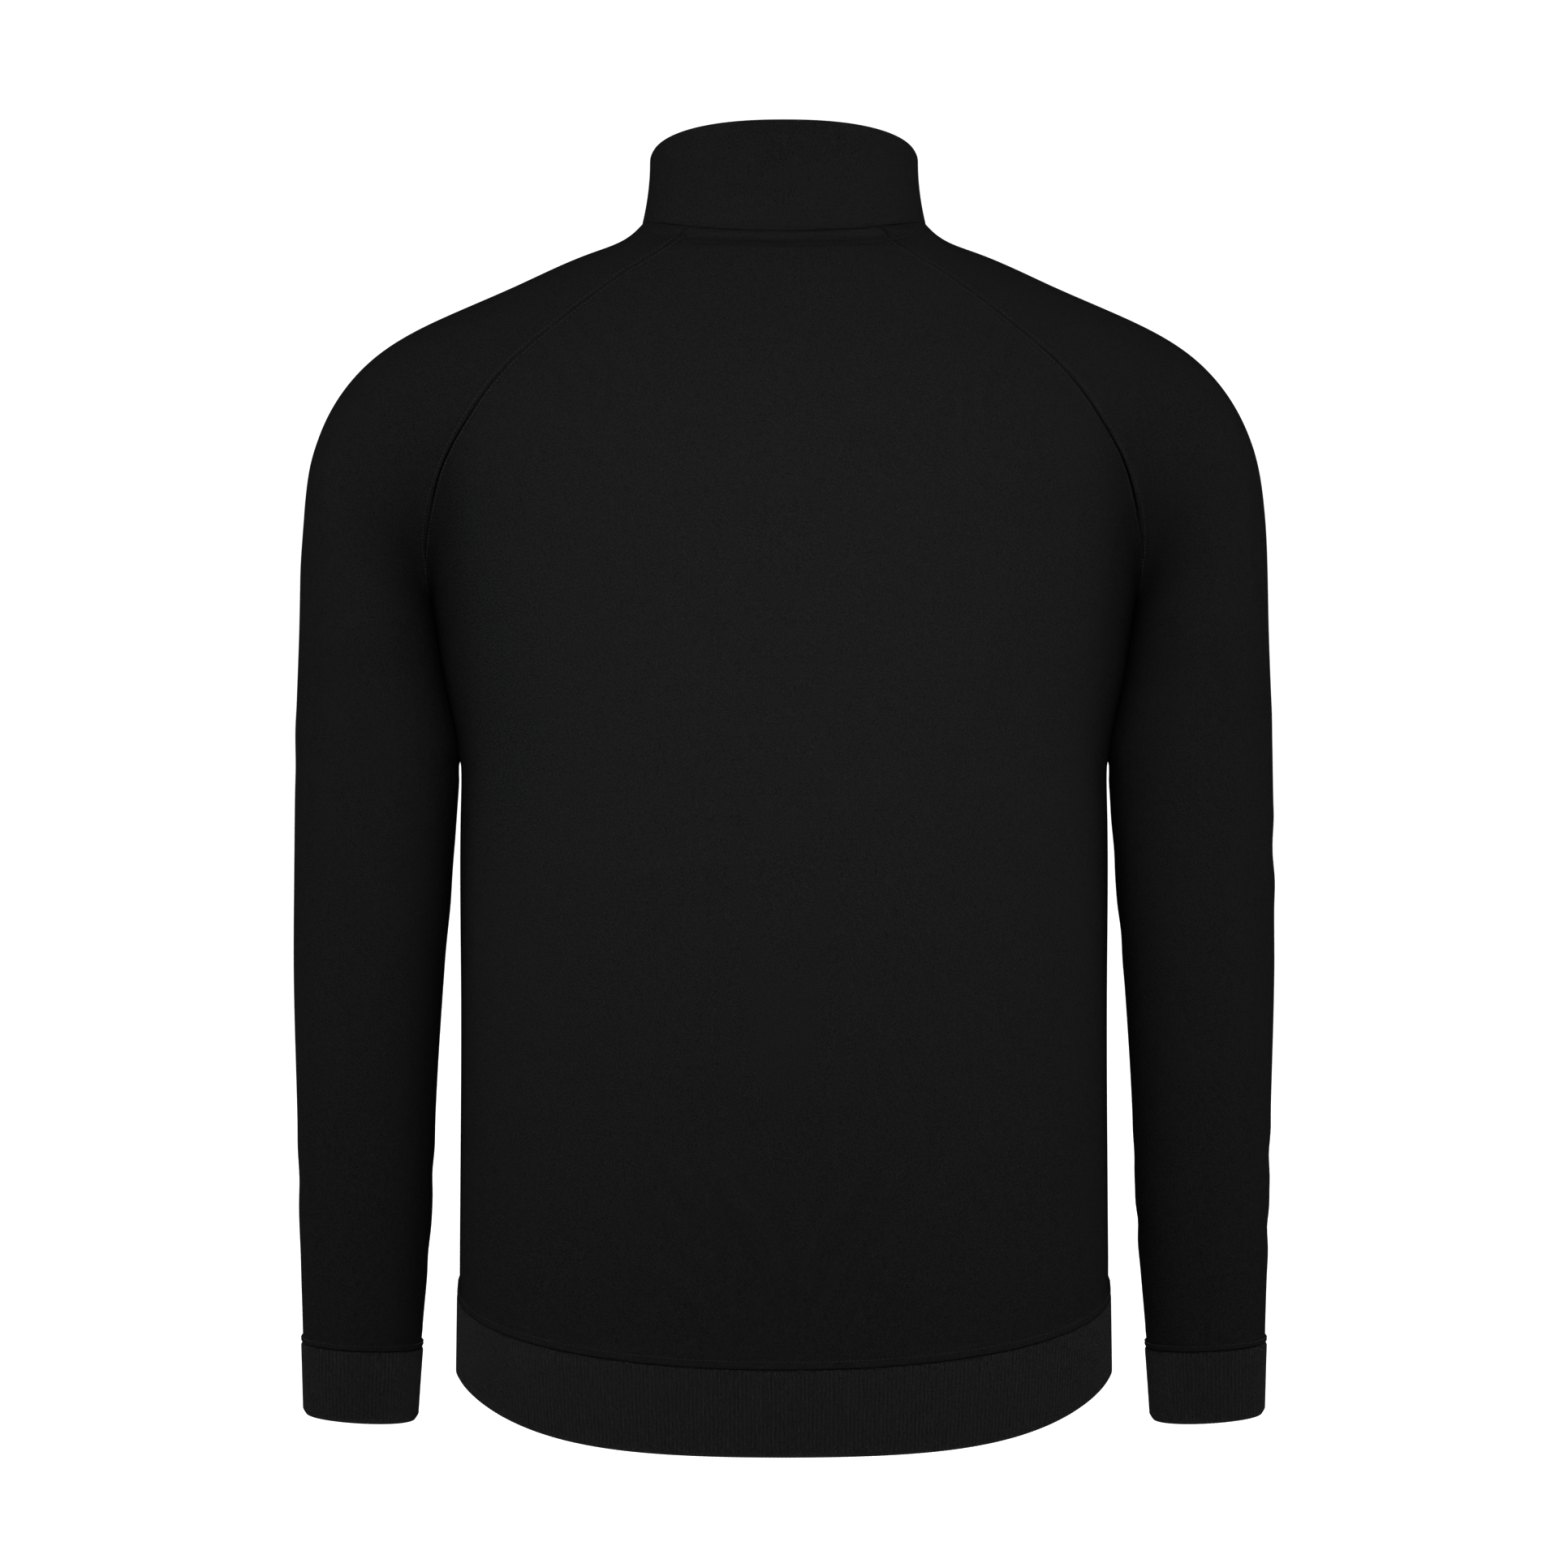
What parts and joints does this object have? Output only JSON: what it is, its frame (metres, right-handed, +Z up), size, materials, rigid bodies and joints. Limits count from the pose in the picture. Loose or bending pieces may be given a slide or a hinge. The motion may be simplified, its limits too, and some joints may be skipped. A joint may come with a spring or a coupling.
{
  "type": "track jacket",
  "caption": "Raglan track jacket in its worn shape with no wearer: stand collar, front zip with a hinged pull tab, ribbed hem band and cuffs.",
  "frame": {"origin": "middle of the neck opening, level with the back neck seam, where a wearer's neck holds the jacket up", "axes": "+Z up, the front of the jacket towards -Y and its back towards +Y, the wearer's left at +X"},
  "size_m": [0.6086, 0.2557, 0.7959],
  "materials": {
    "fleece": "matt black polyester fleece",
    "rib": "matt black rib knit",
    "zip_tape": "black woven tape",
    "zip_metal": "black enamel"
  },
  "bodies": {
    "jacket": {"back": "fleece", "front_left": "fleece", "front_right": "fleece", "sleeve_left": "fleece", "sleeve_right": "fleece", "collar": "fleece", "hem_band": "rib", "cuff_left": "rib", "cuff_right": "rib", "zip_tape_left": "zip_tape", "zip_tape_right": "zip_tape", "zip_slider": "zip_metal", "zip_box": "zip_metal"},
    "pull": {"zip_pull": "zip_metal"}
  },
  "joints": [
    {"name": "pull_hinge", "type": "hinge", "parent": "jacket", "child": "pull", "pos_m": [0, -0.0748, 0.0265], "axis": [-1, 0, 0], "range_deg": [0, 170]}
  ]
}
